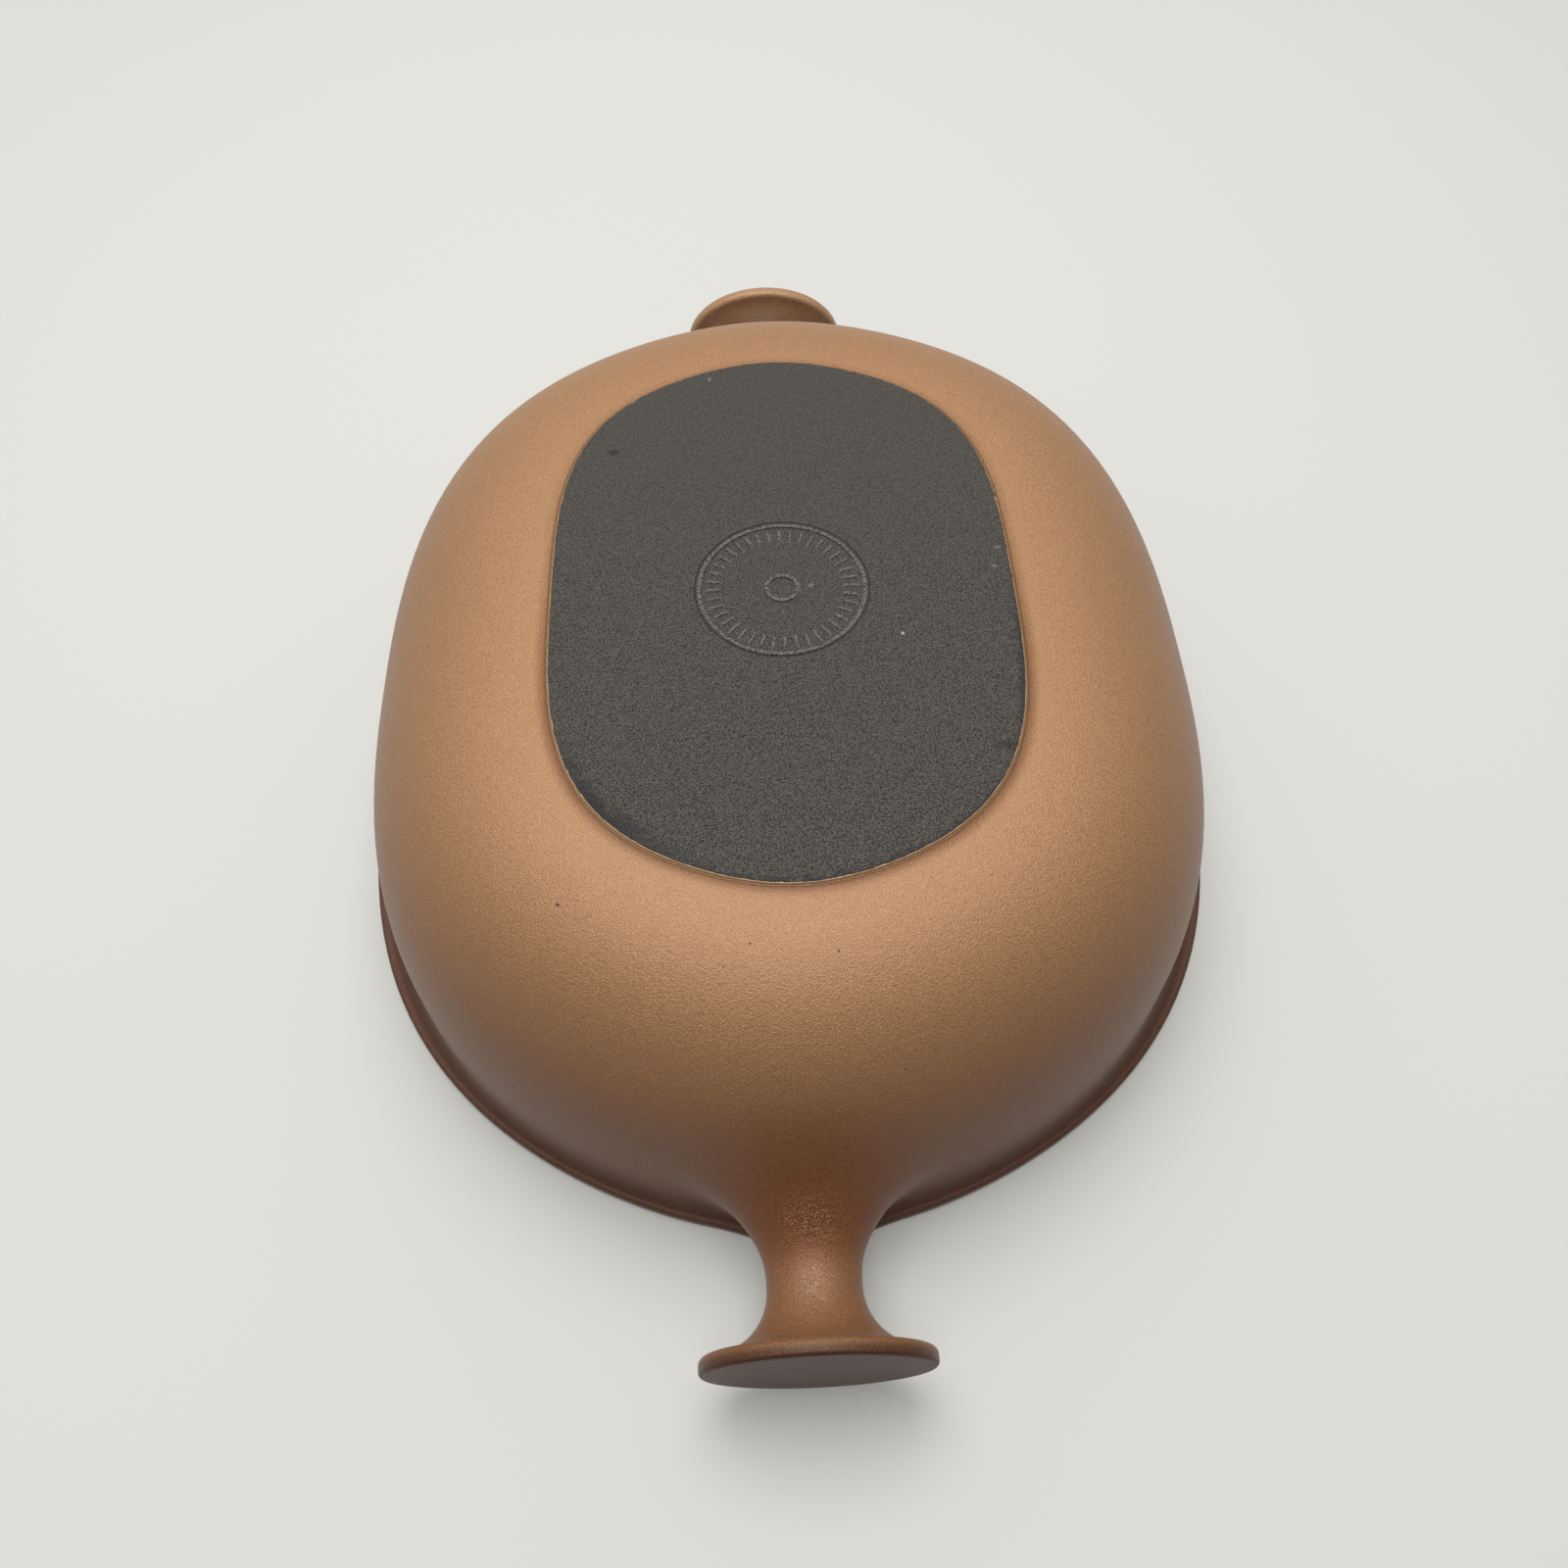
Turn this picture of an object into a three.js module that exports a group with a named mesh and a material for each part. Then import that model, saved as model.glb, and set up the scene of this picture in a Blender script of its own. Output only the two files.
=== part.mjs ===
import * as THREE from 'three';

// An oval enamelled cast iron dish with two spool handles, in millimetres.
// It lies upside down on its rim, so Z = 0 is the plane of the rim and the base is on top.
// Its long axis is Y, and the origin is the centre of the rim.

// Rim and lip
const rimLength = 250;
const rimWidth = 219;
const rimSideFullness = 2.35;
const rimEndFullness = 1.93;
const lipOverhangAtEnds = 3;
const lipOverhangAtSides = 7.2;
const lipThickness = 2.8;
const lipCorner = 1;
const lipUnderCorner = 0.5;
const rimFlareInside = 1;
const rimEdgeHeight = 0.8;
const rimEdgeInset = 1.2;
const rimEdgeCorner = 0.5;

// Wall, from the neck above the lip over the belly to the shoulder
const neckHeight = 11;
const bellyHeight = 21;
const bellySideFullness = 2.49;
const bellyEndFullness = 1.99;
const shoulderFullness = 2.27;

// Base, a ground oval that stands a little proud of the shoulder, with a round field sunk in it
const dishHeight = 78;
const baseLength = 152;
const baseWidth = 105.4;
const baseSideFullness = 3.1;
const baseEndFullness = 2.07;
const baseStep = 0.8;
const baseStepDraft = 0.5;
const fieldDiameter = 40;
const fieldDepth = 0.35;

// Handles: a stem that grows out of the wall and spreads into an oval flange
const lengthOverHandles = 313;
const flangeWidth = 48.6;
const flangeHeight = 39;
const flangeThickness = 3.6;
const flangeBackCorner = 1.4;
const flangeFaceCorner = 0.9;
const flangeAboveTable = 0.8;
const stemWidth = 20;
const stemCoveDepth = 12.4;

// Section of the stem: half an ellipse above the middle of the flange, deeper and squarer below it
const stemRise = 8.3;
const stemRiseFullness = 2;
const stemDrop = 12;
const stemDropFullness = 2.5;

// Fillet between wall and stem: narrow at the lip, full from a height by the stem's top, and
// narrower again out at the stem's waist. That starts at a distance past the end of the rim.
const rootFillet = 25;
const lipFillet = 16;
const waistFillet = 18;
const fullFilletHeight = 32;
const filletFadeStart = 2;

// Thicknesses: iron, glass enamel, and the thin bond layer that is left as a gap between them
const ironWall = 2.9;
const ironBase = 3.6;
const enamelThickness = 0.4;
const baseCoatThickness = 0.5;
const bond = 0.3;

// Fineness of the facets, in steps
const columns = 60;
const shoulderSteps = 8;
const bellySteps = 2;
const neckSteps = 4;
const flareSteps = 3;
const cornerSteps = 2;
const handleSpan = 6;
const rootSteps = 4;
const coveSteps = 4;

// How the facets are spread out, and how the points of the two roots find their place
const endCrowding = 0.16;
const firstRootShare = 0.1;
const firstRootSwell = 1.25;
const settleSteps = 8;
const evenRounds = 5;
const evenShare = 0.5;
const nudge = 0.01;
const tolerance = 0.001;

// Sizes that follow from the ones above
const lowerWallHeight = rimEdgeHeight + bond;
const lipTop = lowerWallHeight + lipThickness;
const stepFoot = dishHeight - baseStep;
const handleHeight = flangeAboveTable + flangeHeight / 2;
const handleEnd = lengthOverHandles / 2;
const flangeInnerFace = handleEnd - flangeThickness;
const waistReach = flangeInnerFace - stemCoveDepth;
const skinDepth = enamelThickness + bond;
const wallThickness = ironWall + 2 * skinDepth;
const floorHeight = dishHeight - baseCoatThickness - bond - ironBase - skinDepth;
const quarterTurn = Math.PI / 2;

// Ovals. An oval has a size along X and along Y, and a fullness at its sides and at its ends:
// a fullness of 2 is an ellipse, and more is squarer.
function makeOval(length, width, sideFullness, endFullness) {
  return { halfLength: length / 2, halfWidth: width / 2, sideFullness, endFullness };
}

function insetOval(oval, depth) {
  return { ...oval, halfLength: oval.halfLength - depth, halfWidth: oval.halfWidth - depth };
}

function mixOvals(from, to, share) {
  const mix = (key) => THREE.MathUtils.lerp(from[key], to[key], share);
  return {
    halfLength: mix('halfLength'),
    halfWidth: mix('halfWidth'),
    sideFullness: mix('sideFullness'),
    endFullness: mix('endFullness'),
  };
}

function ovalReach(oval, angle) {
  const across = Math.abs(Math.cos(angle));
  const along = Math.abs(Math.sin(angle));
  const fullness = THREE.MathUtils.lerp(oval.endFullness, oval.sideFullness, across * across);
  return (across ** fullness + along ** fullness) ** (-1 / fullness);
}

function ovalPoint(oval, angle, height) {
  const reach = ovalReach(oval, angle);
  const x = oval.halfWidth * reach * Math.cos(angle);
  const y = oval.halfLength * reach * Math.sin(angle);
  return new THREE.Vector3(x, y, height);
}

// The columns of facets stand closer together at the two ends, where the handles grow out.
function columnAngle(column) {
  const even = (2 * Math.PI * column) / columns;
  return even + endCrowding * Math.sin(2 * even);
}

function ringPoints({ oval, height }) {
  return Array.from({ length: columns }, (_, column) => ovalPoint(oval, columnAngle(column), height));
}

const rimOval = makeOval(rimLength, rimWidth, rimSideFullness, rimEndFullness);
const bellyOval = makeOval(
  rimLength - 2 * lipOverhangAtEnds,
  rimWidth - 2 * lipOverhangAtSides,
  bellySideFullness,
  bellyEndFullness,
);
const baseOval = makeOval(baseLength, baseWidth, baseSideFullness, baseEndFullness);
const stepOval = insetOval(baseOval, -baseStepDraft);
const lipOval = insetOval(rimOval, lipCorner);
const bellyInsideOval = insetOval(bellyOval, wallThickness);
const rimInsideOval = insetOval(bellyInsideOval, -rimFlareInside);
const floorOval = insetOval(baseOval, wallThickness);

// Outside of the wall at a height between the lip and the foot of the base step
function outsideOval(height) {
  if (height >= bellyHeight) {
    const rise = Math.min((height - bellyHeight) / (stepFoot - bellyHeight), 1);
    const spread = (1 - rise ** shoulderFullness) ** (1 / shoulderFullness);
    return mixOvals(stepOval, bellyOval, spread);
  }
  const drop = THREE.MathUtils.clamp((neckHeight - height) / (neckHeight - lipTop), 0, 1);
  return mixOvals(bellyOval, lipOval, 1 - Math.sqrt(1 - drop * drop));
}

// Rings of the shoulder, from the foot of the base step or the floor at the top down to the belly
function shoulderRings(topOval, beltOval, topHeight) {
  return Array.from({ length: shoulderSteps }, (_, step) => {
    const turn = quarterTurn * (1 - step / shoulderSteps);
    const rise = Math.sin(turn) ** (2 / shoulderFullness);
    const spread = Math.cos(turn) ** (2 / shoulderFullness);
    return {
      oval: mixOvals(topOval, beltOval, spread),
      height: bellyHeight + (topHeight - bellyHeight) * rise,
    };
  });
}

// Rings of the outside, from the edge of the base down to the lower edge of the lip
function outsideRings() {
  const rings = [{ oval: baseOval, height: dishHeight }];
  rings.push(...shoulderRings(stepOval, bellyOval, stepFoot));
  for (let step = 0; step < bellySteps; step += 1) {
    const height = THREE.MathUtils.lerp(bellyHeight, neckHeight, step / bellySteps);
    rings.push({ oval: bellyOval, height });
  }
  for (let step = 0; step <= neckSteps; step += 1) {
    const height = neckHeight - (neckHeight - lipTop) * Math.sin((quarterTurn * step) / neckSteps);
    rings.push({ oval: outsideOval(height), height });
  }
  for (let step = 1; step <= cornerSteps; step += 1) {
    const turn = (quarterTurn * step) / cornerSteps;
    rings.push({
      oval: insetOval(rimOval, lipCorner * (1 - Math.sin(turn))),
      height: lipTop - lipCorner * (1 - Math.cos(turn)),
    });
  }
  rings.push({ oval: rimOval, height: lowerWallHeight + lipUnderCorner });
  rings.push({ oval: insetOval(rimOval, lipUnderCorner), height: lowerWallHeight });
  return rings;
}

// Rings of the inside, from the edge of the flat floor down to the inner edge of the rim
function insideRings() {
  const rings = shoulderRings(floorOval, bellyInsideOval, floorHeight);
  for (let step = 0; step <= flareSteps; step += 1) {
    const share = step / flareSteps;
    rings.push({
      oval: mixOvals(bellyInsideOval, rimInsideOval, share * share),
      height: THREE.MathUtils.lerp(bellyHeight, lowerWallHeight, share),
    });
  }
  return rings;
}

function addQuad(facets, a, b, c, d) {
  facets.push([a, b, c], [a, c, d]);
}

function pointIndex(ring, column) {
  return ring * columns + ((column + columns) % columns);
}

function edgeOfRing(ring) {
  return Array.from({ length: columns }, (_, column) => pointIndex(ring, column));
}

// Facets between each ring of points and the next, all the way round. A closed section also joins
// its last ring to its first. Facets that an opening takes up are left out.
function bandFacets(ringCount, closed = false, inOpening = () => false) {
  const facets = [];
  for (let ring = 0; ring < (closed ? ringCount : ringCount - 1); ring += 1) {
    const below = (ring + 1) % ringCount;
    for (let column = 0; column < columns; column += 1) {
      if (!inOpening(ring, column)) {
        const [a, b] = [pointIndex(ring, column), pointIndex(below, column)];
        const [c, d] = [pointIndex(below, column + 1), pointIndex(ring, column + 1)];
        addQuad(facets, a, b, c, d);
      }
    }
  }
  return facets;
}

// How far outside the wall a point lies: 0 on it, and 1 at twice the wall's reach
function wallLevel(point) {
  const oval = outsideOval(point.z);
  const angle = Math.atan2(point.y / oval.halfLength, point.x / oval.halfWidth);
  return Math.hypot(point.x / oval.halfWidth, point.y / oval.halfLength) / ovalReach(oval, angle) - 1;
}

// Distance to the wall and the direction away from it. Below the neck both are level ones.
function fromWall(point) {
  const away = new THREE.Vector3();
  for (const axis of point.z < neckHeight ? ['x', 'y'] : ['x', 'y', 'z']) {
    const ahead = point.clone();
    const behind = point.clone();
    ahead[axis] += nudge;
    behind[axis] -= nudge;
    away[axis] = (wallLevel(ahead) - wallLevel(behind)) / (2 * nudge);
  }
  const steepness = away.length();
  return { distance: wallLevel(point) / steepness, away: away.divideScalar(steepness) };
}

// Distance to the stem's bar and the direction away from it
function fromStem(point) {
  const below = point.z < handleHeight;
  const [halfHeight, fullness] = below ? [stemDrop, stemDropFullness] : [stemRise, stemRiseFullness];
  const halfWidth = stemWidth / 2;
  const across = point.x / halfWidth;
  const up = (point.z - handleHeight) / halfHeight;
  const level = (Math.abs(across) ** fullness + Math.abs(up) ** fullness) ** (1 / fullness);
  const slope = (share, half) => (Math.sign(share) * Math.abs(share / level) ** (fullness - 1)) / half;
  const away = new THREE.Vector3(slope(across, halfWidth), 0, slope(up, halfHeight));
  const steepness = away.length();
  return { distance: (level - 1) / steepness, away: away.divideScalar(steepness) };
}

function filletAt(point) {
  const rise = THREE.MathUtils.smoothstep(point.z, lipTop, fullFilletHeight);
  const out = THREE.MathUtils.smoothstep(Math.abs(point.y), rimLength / 2 + filletFadeStart, waistReach);
  return THREE.MathUtils.lerp(THREE.MathUtils.lerp(lipFillet, rootFillet, rise), waistFillet, out);
}

// Distance to the root, where wall and stem run into each other in a soft fillet
function fromRoot(point) {
  const wall = fromWall(point);
  const stem = fromStem(point);
  const fillet = filletAt(point);
  const overlap = Math.max(fillet - Math.abs(wall.distance - stem.distance), 0) / fillet;
  const [near, far] = wall.distance < stem.distance ? [wall, stem] : [stem, wall];
  return {
    distance: near.distance - (overlap * overlap * fillet) / 4,
    away: near.away.clone().lerp(far.away, overlap / 2),
  };
}

function settleOnRoot(point) {
  for (let step = 0; step < settleSteps; step += 1) {
    const { distance, away } = fromRoot(point);
    point.addScaledVector(away, -distance / away.lengthSq());
  }
}

// Rings of one handle from the root out to the edge of the flat end face: their reach along Y,
// half width, height above and depth below the handle's middle, and the fullness of each half
function handleRings() {
  const rings = [];
  const flangeRing = (reach, inset) => ({
    reach,
    halfWidth: flangeWidth / 2 - inset,
    rise: flangeHeight / 2 - inset,
    drop: flangeHeight / 2 - inset,
    dropFullness: stemRiseFullness,
  });
  for (let step = 0; step < rootSteps; step += 1) {
    const share = THREE.MathUtils.lerp(firstRootShare, 1, step / rootSteps);
    const swell = 1 + firstRootSwell * (1 - share) ** 3;
    rings.push({
      reach: THREE.MathUtils.lerp(rimLength / 2, waistReach, share),
      halfWidth: (stemWidth / 2) * swell,
      rise: stemRise * swell,
      drop: stemDrop,
      dropFullness: stemDropFullness,
      onRoot: true,
    });
  }
  const coveEnd = flangeRing(flangeInnerFace, flangeBackCorner);
  for (let step = 0; step <= coveSteps; step += 1) {
    const turn = (quarterTurn * step) / coveSteps;
    const stemShare = Math.cos(turn);
    rings.push({
      reach: waistReach + stemCoveDepth * Math.sin(turn),
      halfWidth: THREE.MathUtils.lerp(coveEnd.halfWidth, stemWidth / 2, stemShare),
      rise: THREE.MathUtils.lerp(coveEnd.rise, stemRise, stemShare),
      drop: THREE.MathUtils.lerp(coveEnd.drop, stemDrop, stemShare),
      dropFullness: THREE.MathUtils.lerp(coveEnd.dropFullness, stemDropFullness, stemShare),
    });
  }
  for (let step = 1; step <= cornerSteps; step += 1) {
    const turn = (quarterTurn * step) / cornerSteps;
    const reach = flangeInnerFace + flangeBackCorner * (1 - Math.cos(turn));
    rings.push(flangeRing(reach, flangeBackCorner * (1 - Math.sin(turn))));
  }
  for (let step = 0; step <= cornerSteps; step += 1) {
    const turn = (quarterTurn * step) / cornerSteps;
    const reach = handleEnd - flangeFaceCorner * (1 - Math.sin(turn));
    rings.push(flangeRing(reach, flangeFaceCorner * (1 - Math.cos(turn))));
  }
  return rings;
}

// Whole outside of the casting: the wall with an opening at each end, where the handle's rings
// take over, and the two handles. A sheet holds its points, the facets between them, seen from
// outside, and its open edges.
function outsideSheet() {
  const rings = outsideRings();
  const holeTop = rings.findIndex((ring) => ring.height === bellyHeight) - 2;
  const holeFoot = holeTop + handleSpan;
  const half = handleSpan / 2;
  const handles = [{ end: (3 * columns) / 4, side: -1 }, { end: columns / 4, side: 1 }];
  const inHole = (ring, column) => ring >= holeTop && ring < holeFoot
    && handles.some(({ end }) => column >= end - half && column < end + half);
  const sheet = {
    points: rings.flatMap(ringPoints),
    facets: bandFacets(rings.length, false, inHole),
    topEdge: edgeOfRing(0),
    footEdge: edgeOfRing(rings.length - 1),
  };
  for (const { end, side } of handles) {
    addHandle(sheet, holeLoop(holeTop, holeFoot, end - half, end + half), side);
  }
  swellLip(sheet, rings);
  settleSheet(sheet, rings);
  return sheet;
}

// Points around an opening, anticlockwise seen from outside, from its upper right corner
function holeLoop(top, foot, left, right) {
  const steps = Array.from({ length: handleSpan }, (_, step) => step);
  return [
    ...steps.map((step) => pointIndex(top, right - step)),
    ...steps.map((step) => pointIndex(top + step, left)),
    ...steps.map((step) => pointIndex(foot, left + step)),
    ...steps.map((step) => pointIndex(foot - step, right)),
  ];
}

function addHandle(sheet, rootLoop, side) {
  const sides = rootLoop.length;
  let previous = rootLoop;
  for (const ring of handleRings()) {
    const start = sheet.points.length;
    for (let step = 0; step < sides; step += 1) {
      const turn = Math.PI / 4 + (2 * Math.PI * step) / sides;
      const [across, up] = [Math.cos(turn), Math.sin(turn)];
      const [half, fullness] = up < 0 ? [ring.drop, ring.dropFullness] : [ring.rise, stemRiseFullness];
      const size = (Math.abs(across) ** fullness + Math.abs(up) ** fullness) ** (-1 / fullness);
      const x = -side * ring.halfWidth * size * across;
      const z = handleHeight + half * size * up;
      const point = new THREE.Vector3(x, side * ring.reach, z);
      point.onRoot = ring.onRoot;
      sheet.points.push(point);
    }
    const loop = Array.from({ length: sides }, (_, step) => start + step);
    for (let step = 0; step < sides; step += 1) {
      const next = (step + 1) % sides;
      addQuad(sheet.facets, previous[step], previous[next], loop[next], loop[step]);
    }
    previous = loop;
  }
  addFan(sheet.points, sheet.facets, previous, new THREE.Vector3(0, side * handleEnd, handleHeight));
}

// Under each stem the lip swells out, as far as the fillet between the two reaches there.
function swellLip(sheet, rings) {
  const lipRing = rings.findIndex((ring) => ring.height < lipTop + tolerance);
  for (let column = 0; column < columns; column += 1) {
    const edge = sheet.points[pointIndex(lipRing, column)];
    const gap = THREE.MathUtils.clamp(fromStem(edge).distance, 0, lipFillet);
    const swelling = (Math.sqrt(lipFillet) - Math.sqrt(gap)) ** 2;
    const { away } = fromWall(edge);
    for (let ring = lipRing; ring < rings.length; ring += 1) {
      sheet.points[pointIndex(ring, column)].addScaledVector(away, swelling);
    }
  }
}

// The points near the roots move onto the filleted surface, and even out along it.
function settleSheet(sheet, rings) {
  const wallPoints = rings.length * columns;
  const moving = sheet.points
    .map((point, index) => ({ point, index }))
    .filter(({ point, index }) => (index < wallPoints
      ? point.z > lipTop + tolerance && point.z < stepFoot && Math.abs(fromRoot(point).distance) > tolerance
      : point.onRoot));
  const neighbours = new Map(moving.map(({ index }) => [index, new Set()]));
  for (const facet of sheet.facets) {
    for (const index of facet) {
      facet.forEach((other) => other !== index && neighbours.get(index)?.add(other));
    }
  }
  moving.forEach(({ point }) => settleOnRoot(point));
  for (let round = 0; round < evenRounds; round += 1) {
    const targets = moving.map(({ index }) => {
      const around = [...neighbours.get(index)];
      const sum = around.reduce((total, other) => total.add(sheet.points[other]), new THREE.Vector3());
      return sum.divideScalar(around.length);
    });
    moving.forEach(({ point }, place) => point.lerp(targets[place], evenShare));
    moving.forEach(({ point }) => settleOnRoot(point));
  }
}

function insideSheet() {
  const rings = insideRings();
  const sheet = {
    points: rings.flatMap(ringPoints),
    facets: bandFacets(rings.length),
    topEdge: [],
    footEdge: edgeOfRing(rings.length - 1),
  };
  addLid(sheet.points, sheet.facets, edgeOfRing(0));
  return sheet;
}

// Facets from a middle point to each side of an edge that runs anticlockwise seen from outside
function addFan(points, facets, edge, middle) {
  points.push(middle);
  edge.forEach((index, place) => {
    facets.push([points.length - 1, index, edge[(place + 1) % edge.length]]);
  });
}

function addLid(points, facets, edge) {
  addFan(points, facets, edge, new THREE.Vector3(0, 0, points[edge[0]].z));
}

function toGeometry(points, facets) {
  const geometry = new THREE.BufferGeometry();
  geometry.setAttribute('position', new THREE.Float32BufferAttribute(points.flatMap((p) => p.toArray()), 3));
  geometry.setIndex(facets.flat());
  geometry.computeVertexNormals();
  return geometry;
}

// The sheet's points moved in by a depth, square to the surface. Its open edges stay level,
// and the edge at the base may lie at a height of its own.
function sunkPoints(sheet, depth, topHeight) {
  const normals = toGeometry(sheet.points, sheet.facets).getAttribute('normal');
  const edges = new Set([...sheet.footEdge, ...sheet.topEdge]);
  const points = sheet.points.map((point, index) => {
    const normal = new THREE.Vector3().fromBufferAttribute(normals, index);
    if (edges.has(index)) {
      normal.setZ(0).normalize();
    }
    return point.clone().addScaledVector(normal, -depth);
  });
  if (topHeight !== undefined) {
    sheet.topEdge.forEach((index) => points[index].setZ(topHeight));
  }
  return points;
}

// Joins an outer and an inner layer of points into one closed shell. Each layer has its own
// facets, and the two layers meet along pairs of edges.
function closeShell(outer, inner, seams) {
  const shift = outer.points.length;
  const points = [...outer.points, ...inner.points];
  const facets = [...outer.facets];
  for (const [a, b, c] of inner.facets) {
    facets.push([a + shift, c + shift, b + shift]);
  }
  for (const { outerEdge, innerEdge, atTop } of seams) {
    outerEdge.forEach((a, place) => {
      const next = (place + 1) % outerEdge.length;
      const [b, c, d] = [innerEdge[place] + shift, innerEdge[next] + shift, outerEdge[next]];
      if (atTop) {
        addQuad(facets, a, d, c, b);
      } else {
        addQuad(facets, a, b, c, d);
      }
    });
  }
  return toGeometry(points, facets);
}

const outside = outsideSheet();
const inside = insideSheet();

// Colour enamel on the outside, one fired skin over the wall and both handles. It stops at the
// edge of the ground base and at the lower edge of the lip.
function outerEnamel() {
  const inner = { points: sunkPoints(outside, enamelThickness), facets: outside.facets };
  return closeShell(outside, inner, [
    { outerEdge: outside.topEdge, innerEdge: outside.topEdge, atTop: true },
    { outerEdge: outside.footEdge, innerEdge: outside.footEdge, atTop: false },
  ]);
}

// Iron casting: the bowl with both handles, cast in one pour
function ironCasting() {
  const outer = {
    points: sunkPoints(outside, skinDepth, dishHeight - baseCoatThickness - bond),
    facets: [...outside.facets],
  };
  addLid(outer.points, outer.facets, outside.topEdge);
  const inner = { points: sunkPoints(inside, -skinDepth), facets: inside.facets };
  return closeShell(outer, inner, [
    { outerEdge: outside.footEdge, innerEdge: inside.footEdge, atTop: false },
  ]);
}

// Enamel lining of the inside, from rim to floor
function innerEnamel() {
  const outer = { points: sunkPoints(inside, -enamelThickness), facets: inside.facets };
  return closeShell(outer, inside, [
    { outerEdge: inside.footEdge, innerEdge: inside.footEdge, atTop: false },
  ]);
}

// Dark ground coat on the edge of the rim, the band that the dish rests on when it lies like this
function rimEdge() {
  const outer = insetOval(rimOval, rimEdgeInset);
  const section = [{ oval: rimInsideOval, height: rimEdgeHeight }, { oval: outer, height: rimEdgeHeight }];
  const corner = Array.from({ length: cornerSteps + 1 }, (_, step) => {
    const turn = (quarterTurn * step) / cornerSteps;
    return { inset: rimEdgeCorner * (1 - Math.cos(turn)), height: rimEdgeCorner * (1 - Math.sin(turn)) };
  });
  for (const { inset, height } of corner) {
    section.push({ oval: insetOval(outer, inset), height });
  }
  for (const { inset, height } of corner.reverse()) {
    section.push({ oval: insetOval(rimInsideOval, -inset), height });
  }
  return toGeometry(section.flatMap(ringPoints), bandFacets(section.length, true));
}

// Matt black coat on the ground base, with the shallow round field in its middle
function baseCoat() {
  const edge = insetOval(baseOval, skinDepth);
  const field = makeOval(fieldDiameter, fieldDiameter, 2, 2);
  const rings = [
    { oval: field, height: dishHeight - fieldDepth },
    { oval: field, height: dishHeight },
    { oval: edge, height: dishHeight },
    { oval: edge, height: dishHeight - baseCoatThickness },
  ];
  const points = rings.flatMap(ringPoints);
  const facets = bandFacets(rings.length);
  addLid(points, facets, edgeOfRing(0));
  addLid(points, facets, edgeOfRing(rings.length - 1).reverse());
  return toGeometry(points, facets);
}

function finish(color, roughness, metalness) {
  return new THREE.MeshStandardMaterial({ color, roughness, metalness });
}

const finishes = {
  castIron: finish(0x4a4744, 0.7, 0.6),
  copperEnamel: finish(0xb98a64, 0.42, 0.35),
  creamEnamel: finish(0xe8e0cf, 0.2, 0),
  groundCoat: finish(0x2e2b29, 0.55, 0),
  mattCoat: finish(0x524e4a, 0.85, 0),
};

const dish = new THREE.Group();

function addPiece(name, geometry, material) {
  const piece = new THREE.Mesh(geometry, material);
  piece.name = name;
  dish.add(piece);
}

addPiece('iron_casting', ironCasting(), finishes.castIron);
addPiece('outer_enamel', outerEnamel(), finishes.copperEnamel);
addPiece('inner_enamel', innerEnamel(), finishes.creamEnamel);
addPiece('rim_edge', rimEdge(), finishes.groundCoat);
addPiece('base_coat', baseCoat(), finishes.mattCoat);

export default dish;
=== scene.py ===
import math
import bpy
import numpy as np
from mathutils import Matrix, Vector


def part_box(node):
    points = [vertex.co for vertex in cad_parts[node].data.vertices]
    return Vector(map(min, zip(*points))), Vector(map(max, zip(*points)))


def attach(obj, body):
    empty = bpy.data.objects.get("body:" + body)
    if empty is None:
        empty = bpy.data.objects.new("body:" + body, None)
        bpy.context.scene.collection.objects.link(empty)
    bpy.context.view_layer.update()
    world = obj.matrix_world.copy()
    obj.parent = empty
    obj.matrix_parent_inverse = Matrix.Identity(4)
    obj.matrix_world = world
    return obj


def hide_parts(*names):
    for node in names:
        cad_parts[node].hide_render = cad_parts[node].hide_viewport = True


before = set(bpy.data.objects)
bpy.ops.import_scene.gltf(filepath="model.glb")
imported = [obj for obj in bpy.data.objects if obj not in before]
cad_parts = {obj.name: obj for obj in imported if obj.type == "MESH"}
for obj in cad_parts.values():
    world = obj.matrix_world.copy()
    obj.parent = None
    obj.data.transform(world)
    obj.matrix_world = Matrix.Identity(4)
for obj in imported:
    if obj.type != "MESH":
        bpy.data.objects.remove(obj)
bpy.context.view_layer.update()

# The studio. The dish lies upside down on a pale table top, and the camera looks down on it from
# in front of one handle. Lengths are in metres and angles in radians, but the sensor's is in
# millimetres.
camera_distance = 0.37504
camera_pitch = 0.9931
camera_roll = 0.0203
dish_turn = 0.0268
aim_point = (-0.00039, 0.002354, 0)
frame_pixels = 1600
focal_pixels = 1380.6
optical_row = 780.9
sensor_width = 36
nearest_seen, farthest_seen = 0.01, 20

forward = Vector((0, math.cos(camera_pitch), -math.sin(camera_pitch)))
level_right = Vector((1, 0, 0))
level_up = level_right.cross(forward)
right = level_right * math.cos(camera_roll) - level_up * math.sin(camera_roll)
up = level_right * math.sin(camera_roll) + level_up * math.cos(camera_roll)
round_dish = Matrix.Rotation(-dish_turn, 3, "Z")
camera_axes = Matrix((round_dish @ right, round_dish @ up, round_dish @ -forward)).transposed().to_4x4()
camera_place = Matrix.Translation(round_dish @ (Vector(aim_point) - forward * camera_distance))
camera_data = bpy.data.cameras.new("camera")
camera_data.sensor_width = sensor_width
camera_data.lens = sensor_width * focal_pixels / frame_pixels
camera_data.shift_y = (optical_row - frame_pixels / 2) / frame_pixels
camera_data.clip_start = nearest_seen
camera_data.clip_end = farthest_seen
camera = bpy.data.objects.new("camera", camera_data)
camera.matrix_world = camera_place @ camera_axes
bpy.context.scene.collection.objects.link(camera)
bpy.context.scene.camera = camera
bpy.context.scene.view_settings.view_transform = "Standard"

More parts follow.
